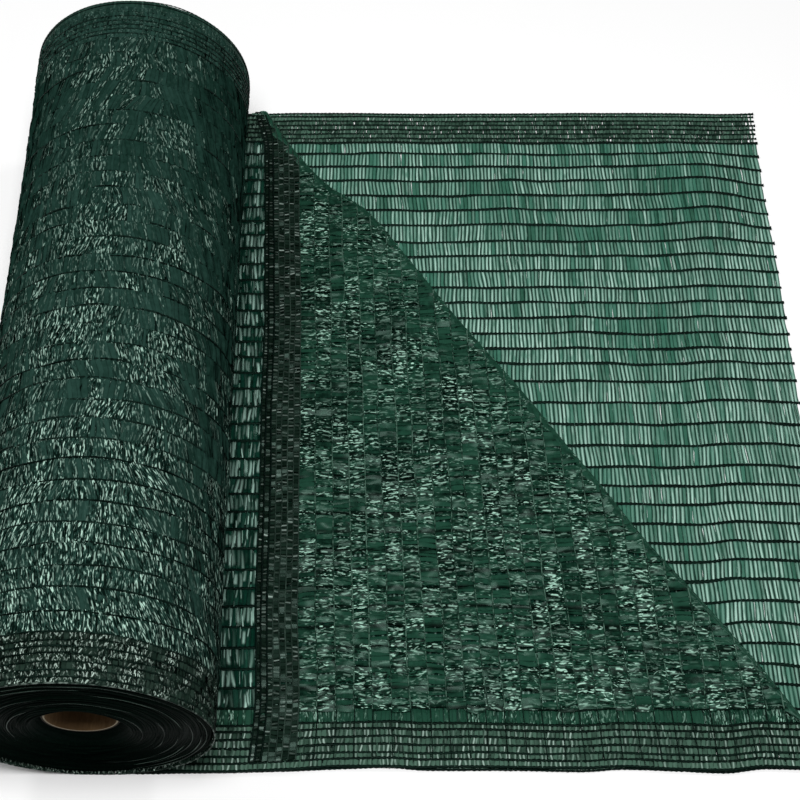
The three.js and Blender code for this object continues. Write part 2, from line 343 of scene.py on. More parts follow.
def noise_at(nt, x, y, z, detail=1.0):
    place = nt.nodes.new("ShaderNodeCombineXYZ")
    for i, a in enumerate((x, y, z)):
        nt.links.new(a, place.inputs[i])
    n = nt.nodes.new("ShaderNodeTexNoise")
    n.inputs["Scale"].default_value, n.inputs["Detail"].default_value = 1.0, detail
    nt.links.new(place.outputs[0], n.inputs["Vector"])
    return n.outputs["Fac"]


def blend(nt, share, first, second):
    n = nt.nodes.new("ShaderNodeMix")
    n.data_type = "RGBA"
    nt.links.new(share, n.inputs[0])
    for a, i in ((first, 6), (second, 7)):
        if isinstance(a, tuple):
            n.inputs[i].default_value = (*a, 1)
        else:
            nt.links.new(a, n.inputs[i])
    return n.outputs[2]


def fraction(nt, seed, times, low, high):
    """A number from low to high that a tape's seed picks."""
    return calc(nt, "MULTIPLY_ADD", calc(nt, "FRACT", calc(nt, "MULTIPLY", seed, times)), high - low, low)


def streak(nt, mark, pick, wide, offset, lean, bend, spread, reach, rare=0.0, fade=0.0, by_rib=False, gap=1.0):
    """A painted highlight along part of a tape, drawn like a crease catching the light, with painted shade beside it.
    It is wide of the tape, lies up to offset from its middle, leans and bends, and runs over reach of its length. With
    rare above 0.55 some tapes have none, and it fades by fade towards the tape's far end. by_rib puts it at one end of
    the tape, and gap is how wide the painted shade is for the highlight."""
    seed = mark["seed"]
    from_mid = calc(nt, "SUBTRACT", mark["along"], 0.5)
    middle = fraction(nt, seed, 13.7 * pick, -offset, offset)
    middle = calc(nt, "MULTIPLY_ADD", fraction(nt, seed, 29.3 * pick, -2 * lean, 2 * lean), from_mid, middle)
    if bend:
        arc = calc(nt, "SUBTRACT", calc(nt, "MULTIPLY", calc(nt, "MULTIPLY", from_mid, from_mid), 4.0), 0.3)
        middle = calc(nt, "MULTIPLY_ADD", fraction(nt, seed, 71.9 * pick, -bend, bend), arc, middle)
    off = calc(nt, "ABSOLUTE", calc(nt, "SUBTRACT", mark["side"], middle))
    d = calc(nt, "DIVIDE", off, wide)
    light = calc(nt, "EXPONENT", calc(nt, "MULTIPLY", calc(nt, "MULTIPLY", d, d), -1.0))
    d = calc(nt, "DIVIDE", calc(nt, "SUBTRACT", off, (1.0 + 1.1 * gap) * wide), gap * wide)
    dark = calc(nt, "EXPONENT", calc(nt, "MULTIPLY", calc(nt, "MULTIPLY", d, d), -1.0))
    if reach < 1:
        at = fraction(nt, seed, 41.7 * pick, -spread, spread)
        if by_rib:
            at = calc(nt, "MULTIPLY_ADD", calc(nt, "SIGN", at), 0.5 - 0.5 * reach, calc(nt, "MULTIPLY", at, 0.3))
        half = fraction(nt, seed, 57.1 * pick, 0.3 * reach, 0.7 * reach)
        away = calc(nt, "DIVIDE", calc(nt, "ABSOLUTE", calc(nt, "SUBTRACT", from_mid, at)), half)
        here = ease(nt, away, 0.55, 1.0, 1.0, 0.0)
    else:
        here = ease(nt, noise_at(nt, calc(nt, "MULTIPLY", mark["along"], 1.2), calc(nt, "MULTIPLY", seed, 90.0 * pick), seed),
                    0.25, 0.5, 0.35, 1.0)
    on = calc(nt, "MULTIPLY", calc(nt, "MAXIMUM", fraction(nt, seed, 83.3 * pick, 0.55 - rare, 1.0), 0.0), here)
    if fade:
        on = calc(nt, "MULTIPLY", on, calc(nt, "MULTIPLY_ADD", mark["along"], -fade, 1.0))
    return calc(nt, "MULTIPLY", light, on), calc(nt, "MULTIPLY", dark, on)


def crackle(nt, mark, fine, long, light, dark, lean=1.0, bend=1.5):
    """Painted highlights and painted shade for crumpled film: fine bright and dark marks drawn out along the tape, fine
    to its half width and long to its length, where a noise is over light or under dark."""
    seed = mark["seed"]
    from_mid = calc(nt, "SUBTRACT", mark["along"], 0.5)
    x = calc(nt, "MULTIPLY_ADD", mark["side"], fine, calc(nt, "MULTIPLY", seed, 97.0))
    x = calc(nt, "MULTIPLY_ADD", fraction(nt, seed, 37.1, -lean, lean), from_mid, x)
    x = calc(nt, "MULTIPLY_ADD", fraction(nt, seed, 53.9, -bend, bend), calc(nt, "MULTIPLY", from_mid, from_mid), x)
    y = calc(nt, "MULTIPLY_ADD", mark["along"], long, calc(nt, "MULTIPLY", seed, 31.0))
    value = noise_at(nt, x, y, calc(nt, "MULTIPLY", seed, 57.0), 1.5)
    return ease(nt, value, light[0], light[1]), ease(nt, value, dark[0], dark[1])


def tape_material(name, body, through, painted_highlight, solid=0.5, rough=(0.2, 0.3), spec=0.2, systems=(), shadow=0.6, rim=0.0,
                  mottle=0.8, crumple_glints=None):
    """Dyed plastic tape, creased lengthwise: light comes through it tinted, and its skin shines. body and through
    are (dark, light) colours and painted_highlight is the (skin, through) colour of a painted highlight streak. solid
    is the share that doesn't let light through, systems the kinds of painted highlight streaks, shadow how dark the
    painted shade beside them is, and rim how dark the painted shade at the tape's edges is."""
    m, nt = new_material(name)
    out = nt.nodes.new("ShaderNodeOutputMaterial")
    mark = {k: node(nt, "ShaderNodeAttribute", attribute_name=k).outputs["Fac"] for k in TAPE_MARKS}
    coords = nt.nodes.new("ShaderNodeTexCoord")
    cloud = node(nt, "ShaderNodeTexNoise", Scale=14.0, Detail=3.0)
    nt.links.new(coords.outputs["Object"], cloud.inputs["Vector"])
    fine = node(nt, "ShaderNodeTexNoise", Scale=150.0, Detail=2.0)
    nt.links.new(coords.outputs["Object"], fine.inputs["Vector"])
    mixed = calc(nt, "MULTIPLY_ADD", cloud.outputs["Fac"], 0.5, mark["tone"])
    mixed = calc(nt, "MULTIPLY_ADD", calc(nt, "SUBTRACT", fine.outputs["Fac"], 0.5), mottle, mixed)
    base = colour_ramp(nt, mixed, [(0.15, body[0]), (1.1, body[1])]).outputs[0]
    tint = colour_ramp(nt, mixed, [(0.15, through[0]), (1.1, through[1])]).outputs[0]
    light, dark = None, None
    for system in systems:
        one, two = streak(nt, mark, **system)
        light = one if light is None else calc(nt, "MAXIMUM", light, one)
        dark = two if dark is None else calc(nt, "MAXIMUM", dark, two)
    if crumple_glints is not None:
        one, two = crackle(nt, mark, **crumple_glints)
        light, dark = calc(nt, "MAXIMUM", light, one), calc(nt, "MAXIMUM", dark, two)
    # light is the painted highlight, and dark the painted shade beside it
    light = calc(nt, "MINIMUM", calc(nt, "MULTIPLY", light, mark["shine"]), 1.0)
    dark = calc(nt, "MULTIPLY", dark, calc(nt, "MINIMUM", calc(nt, "MULTIPLY", mark["shine"], 1.6), 1.0))
    dark = calc(nt, "MINIMUM", calc(nt, "MULTIPLY", dark, shadow), 0.94)
    # rim: painted shade along the tape's edges, where neighbouring tapes overlap
    if rim:
        edge = ease(nt, calc(nt, "ABSOLUTE", mark["side"]), 0.55, 0.98)
        patch = ease(nt, noise_at(nt, calc(nt, "MULTIPLY", mark["along"], 2.0), calc(nt, "MULTIPLY", mark["seed"], 70.0), mark["side"]),
                     0.3, 0.6, 0.25, 1.0)
        dark = calc(nt, "MAXIMUM", dark, calc(nt, "MULTIPLY", calc(nt, "MULTIPLY", edge, patch), rim))
    # under: painted shade where something dark below shows through
    dark = calc(nt, "MAXIMUM", dark, mark["under"])
    # painted shade darkens the colour towards black, then the painted highlight lightens it
    base = blend(nt, dark, base, tuple(0.2 * v for v in body[0]))
    base = blend(nt, light, base, painted_highlight[0])
    tint = blend(nt, dark, tint, tuple(0.3 * v for v in through[0]))
    tint = blend(nt, light, tint, painted_highlight[1])

    grain = node(nt, "ShaderNodeTexNoise", Scale=900.0, Detail=2.0)
    nt.links.new(coords.outputs["Object"], grain.inputs["Vector"])
    height = calc(nt, "MULTIPLY_ADD", light, 0.8, calc(nt, "MULTIPLY", grain.outputs["Fac"], 0.5))
    bump = node(nt, "ShaderNodeBump", Strength=0.3, Distance=0.0004)
    nt.links.new(height, bump.inputs["Height"])
    roughness = nt.nodes.new("ShaderNodeMapRange")
    nt.links.new(cloud.outputs["Fac"], roughness.inputs["Value"])
    roughness.inputs["To Min"].default_value, roughness.inputs["To Max"].default_value = rough
    skin = nt.nodes.new("ShaderNodeBsdfPrincipled")
    nt.links.new(base, skin.inputs["Base Color"])
    nt.links.new(roughness.outputs[0], skin.inputs["Roughness"])
    nt.links.new(bump.outputs[0], skin.inputs["Normal"])
    skin.inputs["IOR"].default_value = 1.5
    skin.inputs["Specular IOR Level"].default_value = spec
    skin.inputs["Specular Tint"].default_value = (0.55, 0.85, 0.72, 1)
    if solid < 1:
        clear = nt.nodes.new("ShaderNodeBsdfTransparent")
        nt.links.new(tint, clear.inputs["Color"])
        mix = nt.nodes.new("ShaderNodeMixShader")
        mix.inputs[0].default_value = solid
        nt.links.new(clear.outputs[0], mix.inputs[1])
        nt.links.new(skin.outputs[0], mix.inputs[2])
        nt.links.new(mix.outputs[0], out.inputs[0])
    else:
        nt.links.new(skin.outputs[0], out.inputs[0])
    return m


def cord_material(name, dark, light, rough=0.45, spec=0.14):
    m, nt = new_material(name)
    out = node(nt, "ShaderNodeOutputMaterial", 600, 0)
    tone = node(nt, "ShaderNodeAttribute", -900, 200, attribute_name="tone")
    coords = node(nt, "ShaderNodeTexCoord", -1100, 0)
    fibre = node(nt, "ShaderNodeTexNoise", -900, 0, Scale=420.0, Detail=3.0)
    nt.links.new(coords.outputs["Object"], fibre.inputs["Vector"])
    mixed = node(nt, "ShaderNodeMath", -680, 100, operation="MULTIPLY")
    nt.links.new(fibre.outputs["Fac"], mixed.inputs[0])
    nt.links.new(tone.outputs["Fac"], mixed.inputs[1])
    base = colour_ramp(nt, mixed.outputs[0], [(0.1, dark), (0.6, light)], -450, 100)
    bump = node(nt, "ShaderNodeBump", -180, -200, Strength=0.5, Distance=0.0006)
    nt.links.new(fibre.outputs["Fac"], bump.inputs["Height"])
    skin = node(nt, "ShaderNodeBsdfPrincipled", 150, 100)
    nt.links.new(base.outputs[0], skin.inputs["Base Color"])
    nt.links.new(bump.outputs[0], skin.inputs["Normal"])
    skin.inputs["Roughness"].default_value = rough
    skin.inputs["IOR"].default_value = 1.5
    skin.inputs["Specular IOR Level"].default_value = spec
    skin.inputs["Specular Tint"].default_value = (0.5, 0.9, 0.72, 1)
    nt.links.new(skin.outputs[0], out.inputs[0])
    return m


def cardboard_material():
    m, nt = new_material("cardboard")
    out = node(nt, "ShaderNodeOutputMaterial", 600, 0)
    coords = node(nt, "ShaderNodeTexCoord", -1200, 0)
    stretch = node(nt, "ShaderNodeMapping", -1000, 0)
    stretch.inputs["Scale"].default_value = (1, 0.25, 1)
    nt.links.new(coords.outputs["Object"], stretch.inputs["Vector"])
    fibre = node(nt, "ShaderNodeTexNoise", -800, 100, Scale=260.0, Detail=5.0, Roughness=0.65)
    nt.links.new(stretch.outputs[0], fibre.inputs["Vector"])
    stain = node(nt, "ShaderNodeTexNoise", -800, -200, Scale=22.0, Detail=3.0)
    nt.links.new(coords.outputs["Object"], stain.inputs["Vector"])
    mixed = node(nt, "ShaderNodeMath", -600, 0, operation="MULTIPLY_ADD")
    nt.links.new(fibre.outputs["Fac"], mixed.inputs[0])
    mixed.inputs[1].default_value = 0.6
    nt.links.new(stain.outputs["Fac"], mixed.inputs[2])
    base = colour_ramp(nt, mixed.outputs[0],
                       [(0.35, (0.050, 0.030, 0.011)), (0.75, (0.12, 0.070, 0.030)), (1.0, (0.20, 0.125, 0.06))], -400, 0)
    # the cut ends are paler than the wound skin
    facing = nt.nodes.new("ShaderNodeNewGeometry")
    parts = nt.nodes.new("ShaderNodeSeparateXYZ")
    nt.links.new(facing.outputs["True Normal"], parts.inputs[0])
    cut = ease(nt, calc(nt, "ABSOLUTE", parts.outputs[1]), 0.6, 0.8)
    place = nt.nodes.new("ShaderNodeSeparateXYZ")
    nt.links.new(coords.outputs["Object"], place.inputs[0])
    across = calc(nt, "MULTIPLY_ADD", place.outputs[1], 0.015, calc(nt, "ADD", place.outputs[0], 0.354 + 0.503 * 0.015))
    up = calc(nt, "SUBTRACT", place.outputs[2], ROLL_Z / 1000)
    from_axis = calc(nt, "SQRT", calc(nt, "ADD", calc(nt, "MULTIPLY", across, across), calc(nt, "MULTIPLY", up, up)))
    cut_face_and_shade = blend(nt, cut, base.outputs[0], (0.28, 0.24, 0.17))
    # painted shade: the outer part of each cut face, under the overhanging turns, is near-black
    cut_face_and_shade = blend(nt, calc(nt, "MULTIPLY", cut, ease(nt, from_axis, 0.0393, 0.0402)), cut_face_and_shade, (0.016, 0.012, 0.008))
    bump = node(nt, "ShaderNodeBump", -180, -200, Strength=0.6, Distance=0.0005)
    nt.links.new(fibre.outputs["Fac"], bump.inputs["Height"])
    skin = node(nt, "ShaderNodeBsdfPrincipled", 150, 0)
    nt.links.new(cut_face_and_shade, skin.inputs["Base Color"])
    nt.links.new(bump.outputs[0], skin.inputs["Normal"])
    skin.inputs["Roughness"].default_value = 0.88
    skin.inputs["Specular IOR Level"].default_value = 0.25
    nt.links.new(skin.outputs[0], out.inputs[0])
    return m


# Kinds of painted highlight streak, each with painted shade beside it, as streak() draws them. Each tape material below
# takes some, and its third pair of colours is the painted highlight.
LONG = [dict(pick=1.0, wide=0.40, offset=0.15, lean=0.12, bend=0.0, spread=0.0, reach=1.0, fade=0.25)]
DASHES = [dict(pick=1.0, wide=0.30, offset=0.3, lean=0.3, bend=0.0, spread=0.0, reach=1.0, rare=0.9)]
DOTS = [dict(pick=1.0, wide=0.22, offset=0.4, lean=0.9, bend=0.5, spread=0.25, reach=0.60, rare=0.6),
        dict(pick=1.9, wide=0.16, offset=0.7, lean=1.5, bend=0.5, spread=0.38, reach=0.40, rare=0.8)]
LOOSE = [dict(pick=1.0, wide=0.52, offset=0.3, lean=0.5, bend=0.3, spread=0.22, reach=0.95, rare=0.9, fade=0.6),
         dict(pick=1.9, wide=0.26, offset=0.6, lean=0.6, bend=0.3, spread=0.3, reach=0.7, rare=0.8, fade=0.3)]
SHORT = [dict(pick=1.0, wide=0.25, offset=0.25, lean=0.5, bend=1.0, spread=0.20, reach=0.50, rare=0.8, gap=1.4),
         dict(pick=1.9, wide=0.19, offset=0.7, lean=1.4, bend=1.0, spread=0.38, reach=0.28, rare=0.9, gap=1.2),
         dict(pick=2.7, wide=0.16, offset=0.8, lean=2.6, bend=1.2, spread=0.40, reach=0.24, rare=1.1)]
CRUMPLED_GLINTS = [dict(pick=1.0, wide=0.20, offset=0.2, lean=0.5, bend=0.6, spread=0.32, reach=0.38, rare=0.5, gap=1.5),
            dict(pick=1.9, wide=0.17, offset=0.5, lean=0.9, bend=0.8, spread=0.36, reach=0.28, rare=0.8, gap=1.3, by_rib=True),
            dict(pick=2.7, wide=0.14, offset=0.7, lean=1.4, bend=1.4, spread=0.38, reach=0.22, rare=0.6, by_rib=True)]
TAPE_LOWER = tape_material("tape_single", ((0.011, 0.046, 0.032), (0.025, 0.090, 0.066)),
                           ((0.24, 0.45, 0.355), (0.36, 0.63, 0.525)), ((0.46, 0.74, 0.62), (0.88, 1.0, 0.95)),
                           solid=0.44, spec=0.3, systems=LONG, shadow=0.9, rim=0.4, mottle=0.6)
TAPE_BAND = tape_material("tape_selvedge", ((0.012, 0.029, 0.020), (0.068, 0.140, 0.100)),
                          ((0.20, 0.34, 0.27), (0.42, 0.60, 0.52)), ((0.46, 0.62, 0.54), (0.80, 0.95, 0.88)),
                          solid=0.80, spec=0.12, systems=DASHES, shadow=0.8, rim=0.8)
TAPE_RUN = tape_material("tape_run", ((0.001, 0.013, 0.008), (0.007, 0.048, 0.032)),
                         ((0.06, 0.33, 0.23), (0.16, 0.52, 0.39)), ((0.60, 0.92, 0.79), (0.70, 0.98, 0.88)),
                         solid=0.66, spec=0.25, systems=LOOSE, shadow=0.9, rim=0.6)
TAPE_FLAP = tape_material("tape_folded", ((0.0018, 0.013, 0.0075), (0.0125, 0.056, 0.034)),
                          ((0.18, 0.52, 0.38), (0.34, 0.74, 0.60)), ((0.44, 0.74, 0.59), (0.70, 0.92, 0.84)),
                          solid=0.88, rough=(0.25, 0.35), spec=0.12, systems=SHORT, shadow=0.96, rim=0.4, mottle=1.5,
                          crumple_glints=dict(fine=1.8, long=3.0, light=(0.585, 0.68), dark=(0.50, 0.40)))
# near-black: the dense selvedge's own dark colour, deepened as painted shade along the flap's free edge
TAPE_DARK = tape_material("tape_dark_selvedge", ((0.002, 0.007, 0.004), (0.009, 0.022, 0.015)),
                          ((0.10, 0.20, 0.15), (0.20, 0.32, 0.26)), ((0.42, 0.54, 0.48), (0.50, 0.70, 0.60)),
                          solid=0.94, spec=0.10, systems=DASHES, shadow=0.9, rim=0.8)
TAPE_NEAR = tape_material("tape_wound_selvedge", ((0.003, 0.009, 0.006), (0.015, 0.030, 0.022)),
                          ((0.10, 0.20, 0.15), (0.20, 0.32, 0.26)), ((0.48, 0.62, 0.54), (0.50, 0.70, 0.60)),
                          solid=1.0, spec=0.06, systems=DOTS, shadow=0.95, rim=0.8, mottle=1.2,
                          crumple_glints=dict(fine=2.0, long=1.8, light=(0.60, 0.72), dark=(0.52, 0.40)))
TAPE_ROLL = tape_material("tape_wound", ((0.0062, 0.0215, 0.0155), (0.017, 0.046, 0.036)),
                          ((0.2, 0.7, 0.5), (0.3, 0.8, 0.6)), ((0.40, 0.60, 0.50), (0.70, 0.92, 0.84)),
                          solid=1.0, rough=(0.45, 0.6), spec=0.0, systems=CRUMPLED_GLINTS, shadow=0.97, rim=0.4, mottle=1.0,
                          crumple_glints=dict(fine=2.2, long=3.3, light=(0.59, 0.69), dark=(0.51, 0.42)))
TAPE_LIP = tape_material("tape_far_lip", ((0.004, 0.017, 0.012), (0.013, 0.040, 0.029)),
                         ((0.2, 0.7, 0.5), (0.3, 0.8, 0.6)), ((0.10, 0.20, 0.155), (0.70, 0.92, 0.84)),
                         solid=1.0, rough=(0.4, 0.5), spec=0.05, systems=DASHES, shadow=0.6, mottle=1.6)
CORD = cord_material("rib_cord", (0.0005, 0.0022, 0.0016), (0.002, 0.009, 0.006), spec=0.08)
CORD_FLAP = cord_material("rib_cord_folded", (0.003, 0.015, 0.009), (0.062, 0.125, 0.092))
CORD_ROLL = cord_material("rib_cord_wound", (0.0006, 0.0025, 0.0018), (0.006, 0.016, 0.012), spec=0.02)
# the near rim cord: its lighter colour is a painted highlight along the rim
CORD_EDGE = cord_material("edge_cord", (0.006, 0.014, 0.010), (0.12, 0.155, 0.135), spec=0.05)
CORD_FINE = cord_material("selvedge_cord", (0.008, 0.016, 0.012), (0.036, 0.062, 0.048))
# near-black, darker than the net itself: painted shade on the roll's ends
END_EDGE = cord_material("wound_ends", (0.0003, 0.0012, 0.0008), (0.0025, 0.009, 0.006), rough=0.6, spec=0.02)
# near-black: painted shade for the inside of the roll, seen through the gaps and in its dished ends
DARK = cord_material("wound_inside", (0.0006, 0.0018, 0.0014), (0.002, 0.007, 0.005), rough=0.7, spec=0.05)

# ------------------------------------------------------------------------------------------------------------
# The knitting
# ------------------------------------------------------------------------------------------------------------
PITCH = 5.2  # one stitch: one tape crossing


def rows_between(low, high, widths):
    """Places of ribs from low to high, with the rows' widths scaled to fit."""
    w = np.array(widths, float)
    return low + np.concatenate([[0], np.cumsum(w)]) * (high - low) / w.sum()


ROW_COUNT = 33
row_rng = np.random.default_rng(5)
BODY = rows_between(-445.3, 445.1, [20.1, 28.2, 24.1, 27.1, 27.2, 29.5, 28.7, 25.7, 25.5, 26.5, 27.4, 26.5, 27.4, 31.9, 31.2, 33.5, 34.1,
                                    27.8, 23.3, 24.9, 25.9, 26.3, 25.7, 28.0, 26.3, 25.3, 29.3, 27.2, 27.0, 27.6, 25.9, 24.0, 21.2])
RUN_BODY = rows_between(-445.3, 445.1, [20.4, 25.7, 24.9, 26.5, 26.9, 26.1, 25.1, 24.1, 27.2, 26.3, 25.2, 26.3, 23.8, 26.3, 26.7, 25.6, 27.5,
                                        27.9, 25.2, 25.5, 24.2, 24.5, 26.5, 26.9, 23.8, 27.6, 28.0, 24.8, 23.3, 24.9, 24.6, 24.6, 24.8, 24.4, 24.1])
SELVEDGE_BACK = rows_between(445.1, 502.5, [8.6, 8.6, 8.5, 8.5, 8.4, 8.3, 6.0])[1:]
SELVEDGE_FRONT = rows_between(-498.0, -445.3, [8.7, 7.6, 9.2, 9.4, 9.2, 7.8])[:-1]
RIBS = np.concatenate([SELVEDGE_FRONT, BODY, SELVEDGE_BACK])
FRONT_ROWS, BACK_ROWS = len(SELVEDGE_FRONT), len(SELVEDGE_BACK)


def knit(rng, rows, s_low, s_high, closed, lean, mess, ends, S=4, holes=None, tone=None, arch=0.35, shine=None, limit=None,
         pitch=PITCH):
    """One tape to a stitch, over some rows. rows is (low t, high t) pairs; s_low and s_high give the row's ends at a t.
    closed is how wide a tape is for its stitch, ends how wide it is at the ribs for its middle, and shine how
    strongly painted highlight streaks mark it at a place. No tape goes past limit, a highest t at an s, and rows run on
    to it.
    Returns arrays of (n, S), and (n,) for the last three."""
    tau = np.linspace(0, 1, S)[None, :]
    out = []
    for low, high in rows:
        mid = (low + high) / 2
        a, b = float(s_low(mid)), float(s_high(mid if limit is None else low))
        n = max(1, int(round((b - a) / pitch)))
        at = a + (np.arange(n) + 0.5 + rng.normal(0, mess["place"], n)) * (b - a) / n
        top = np.full(n, high)
        if limit is not None:
            top = np.minimum(top, limit(at))
            at, top = at[top > low + 1.5], top[top > low + 1.5]
            n = len(at)
            if not n:
                continue
        reach = (top - low)[:, None]
        tall = (top - low) / 26.5
        shut = closed + rng.normal(0, mess["width"], n)
        if holes is not None:
            shut = shut * (1 - holes(at, np.full(n, mid)))
        slant = lean(at, np.full(n, mid)) if callable(lean) else lean
        slant = (slant + soft_walk(rng, n, mess.get("every", 6), mess["slant"]) + rng.normal(0, mess["cross"], n)) * tall
        cs = at[:, None] + (0.5 - tau) * slant[:, None]
        cs = cs + (rng.normal(0, mess["bow"], n) * tall)[:, None] * np.sin(math.pi * tau)
        ct = low + reach * tau + 0 * cs
        profile = ends + (1 - ends) * np.sin(math.pi * np.clip(tau, 0.02, 0.98)) ** 0.7
        width = (pitch * np.clip(shut, 0.15, 1.35))[:, None] * profile * (1 + rng.normal(0, 0.06, (n, S)))
        twist = (rng.normal(0, mess["twist"], n)[:, None] + rng.normal(0, mess["turn"], n)[:, None] * (tau - 0.5) * 2
                 + rng.normal(0, mess["crinkle"], (n, S)))
        curl = rng.normal(0, mess["curl"], (n, 1)) * np.sin(math.pi * np.clip(tau, 0.1, 0.9)) + 0 * cs
        lift = rng.uniform(0.1, 1.0, n)[:, None] * arch * np.sin(math.pi * tau) * np.minimum(1, reach / 20)
        lift = lift + rng.normal(0, 0.12, n)[:, None] + rng.normal(0, mess["crinkle"] * 0.5, (n, S))
        shade = rng.normal(0.5, mess.get("tone", 0.25), n)
        if tone is not None:
            shade = shade + tone(at, np.full(n, mid))
        # glow: how strongly painted highlights mark each tape
        glow = mess["glow"] if shine is None else shine(at, np.full(n, mid))
        glow = glow + rng.normal(0, mess.get("flicker", 0.25), n) + mess.get("row", 0.0) * rng.normal()
        if "patch" in mess:
            glow = glow + soft_walk(rng, n, *mess["patch"])
        glow = np.clip(glow, 0, 1.1)
        out.append((cs, ct, lift, width, twist, curl, np.clip(shade, 0, 1.2), glow, rng.uniform(0.02, 1.0, n)))
    return [np.concatenate(part) for part in zip(*out)]


def soft_walk(rng, count, every, size):
    """Smooth random values, with a knot every few steps."""
    knots = np.arange(0, count + 2 * every, every)
    v = rng.normal(0, size, len(knots))
    x = np.arange(count)
    i = x // every
    f = (x % every) / every
    f = f * f * (3 - 2 * f)
    return v[i] * (1 - f) + v[i + 1] * f


def ribs_along(batch, where, ts, s_low, s_high, radius, rng, over=0.0, wobble=0.5, sides=4, height=0.15, step=2.95, flat=0.72, fleck=0.1, dip=0.12,
               sink=None):
    for t in ts:
        a, b = float(s_low(t)), float(s_high(t)) + (over * rng.uniform(0.2, 1.0) if over else 0)
        n = max(4, int(round((b - a) / step)))
        s = np.linspace(a, b, n + 1)[None, :]
        stitch = np.where(np.arange(n + 1) % 2, 1.18, 0.80)[None, :]
        r = radius * stitch * (1 + rng.normal(0, 0.05, s.shape)) * (1 + soft_walk(rng, n + 1, 14, 0.09))[None, :]
        shade = rng.uniform(0.3, 1.0) + rng.normal(0, fleck, s.shape)
        if over:
            r[:, -1] *= 1.35
        tt = t + soft_walk(rng, n + 1, 19, wobble)[None, :] + rng.normal(0, 0.08, s.shape)
        hh = height + soft_walk(rng, n + 1, 11, dip)[None, :] + 0 * s
        if sink is not None:
            hh = hh - sink(s, tt)
        cords(batch, where, s, tt, hh, r, flat=flat, sides=sides, shade=np.clip(shade, 0, 2))


# ---- lower layer -------------------------------------------------------------------------------------------
def lower_low(t):
    return roll_x(t) + 38 + look(ROLL_SIDE, t)


def lower_high(t):
    return look(CUT_END, t)


lower_patch_field = waves(31, 25, 110, 9, 0.6)
lower_broad = waves(32, 120, 380, 7, 0.7)


def lower_shine(s, t):
    """Painted highlight streaks are strong but for calm patches, and strongest towards the front and the cut end."""
    calm = smooth(lower_patch_field(s, t), 0.35, 1.3)
    return 0.86 + 0.20 * lower_broad(s, t) - 0.16 * smooth(t, 100, 420) - 0.6 * calm


rng = np.random.default_rng(101)
tapes = Batch()
MESS_LOWER = dict(place=0.07, slant=1.2, cross=0.3, bow=0.3, width=0.05, twist=0.12, turn=0.10, crinkle=0.04, curl=0.2, every=9)
body_rows = list(zip(BODY[:-1], BODY[1:]))
strips(tapes, lower_map, knit(rng, body_rows, lower_low, lambda t: lower_high(t) - 1.5, 1.25, 0.3, MESS_LOWER, 0.99,
                              shine=lower_shine))
run_rows = list(zip(RUN_BODY[:-1], RUN_BODY[1:]))
selvedge_rows = list(zip(RIBS[:FRONT_ROWS], RIBS[1:FRONT_ROWS + 1])) + list(zip(RIBS[-BACK_ROWS - 1:-1], RIBS[-BACK_ROWS:]))


def end_holes(s, t):
    """The last stitches of the back selvedge have run open at the cut end."""
    return np.where(t > 440, 0.6 * smooth(s, 494, 509), 0.0)


MESS_SELVEDGE = dict(place=0.1, slant=2.0, cross=2.0, bow=0.2, width=0.10, twist=0.2, turn=0.1, crinkle=0.05, curl=0.25, glow=0.7)


def band_tone(s, t):
    """The outermost row of a selvedge is paler."""
    return np.where(np.abs(t - 2) > 490, 0.5, np.where(t < 0, 0.05, -0.15))


tapes.kind = 1
# selvedge rows: many painted glints on the front selvedge, few on the back one
strips(tapes, lower_map, knit(rng, selvedge_rows, lower_low, lambda t: lower_high(t) - 1.0, 1.16, 0.0, MESS_SELVEDGE, 0.98, S=2,
                              holes=end_holes, tone=band_tone, arch=0.2, shine=lambda s, t: np.where(t > 0, 0.16, 0.8)))
lower_tapes = tapes.build("lower_tapes", TAPE_LOWER, TAPE_BAND)
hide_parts("lower_sheet")

rng = np.random.default_rng(102)
batch = Batch(("tone",))
ribs_along(batch, lower_map, BODY, lower_low, lower_high, 2.3, rng, over=2.0, wobble=0.35, flat=0.5)
ribs_along(batch, lower_map, np.concatenate([SELVEDGE_FRONT, SELVEDGE_BACK]), lower_low, lower_high, 1.7, rng, over=2.0, wobble=0.3,
           flat=0.6)
lower_ribs = batch.build("lower_ribs", CORD)

# ---- upper layer: run --------------------------------------------------------------------------------------
FOLD_BY_X = tuple((x, y) for y, x in reversed(FOLD))


def fold_y(x):
    """Where the fold lies, by place across: how far back the flap reaches there."""
    return look(FOLD_BY_X, x)


def run_low(t):
    return roll_x(t) + 48 + look(ROLL_SIDE, t)


def run_high(t):
    return bend_x(edge_y(0.0, t, 1.5, 0.5)) + 1.5


def run_limit(s):
    """How far across the run reaches, before the fold cuts it off."""
    front, back = look(FRONT_EDGE, s) + 1.5, look(BACK_EDGE, s) - 0.5
    return (fold_y(s + LOOP_GAP / 2 + T - 1.0) - front) / (back - front) * 1000.5 - 498.0


rng = np.random.default_rng(201)
tapes = Batch()
MESS_RUN = dict(place=0.12, slant=1.2, cross=0.9, bow=0.5, width=0.12, twist=0.2, turn=0.15, crinkle=0.08, curl=0.25, glow=1.05)
strips(tapes, run_map, knit(rng, run_rows[1:], run_low, run_high, 1.12, 0.6, MESS_RUN, 0.9, limit=run_limit))


def front_glints(s, t):
    """How strongly painted glints mark the front selvedge, which is crumpled, most by the front corner of the fold."""
    return 0.66 + 0.7 * np.exp(-(((s - 410) / 45) ** 2)) + 0.30 * run_drift(s * 3, t)


tapes.kind = 1
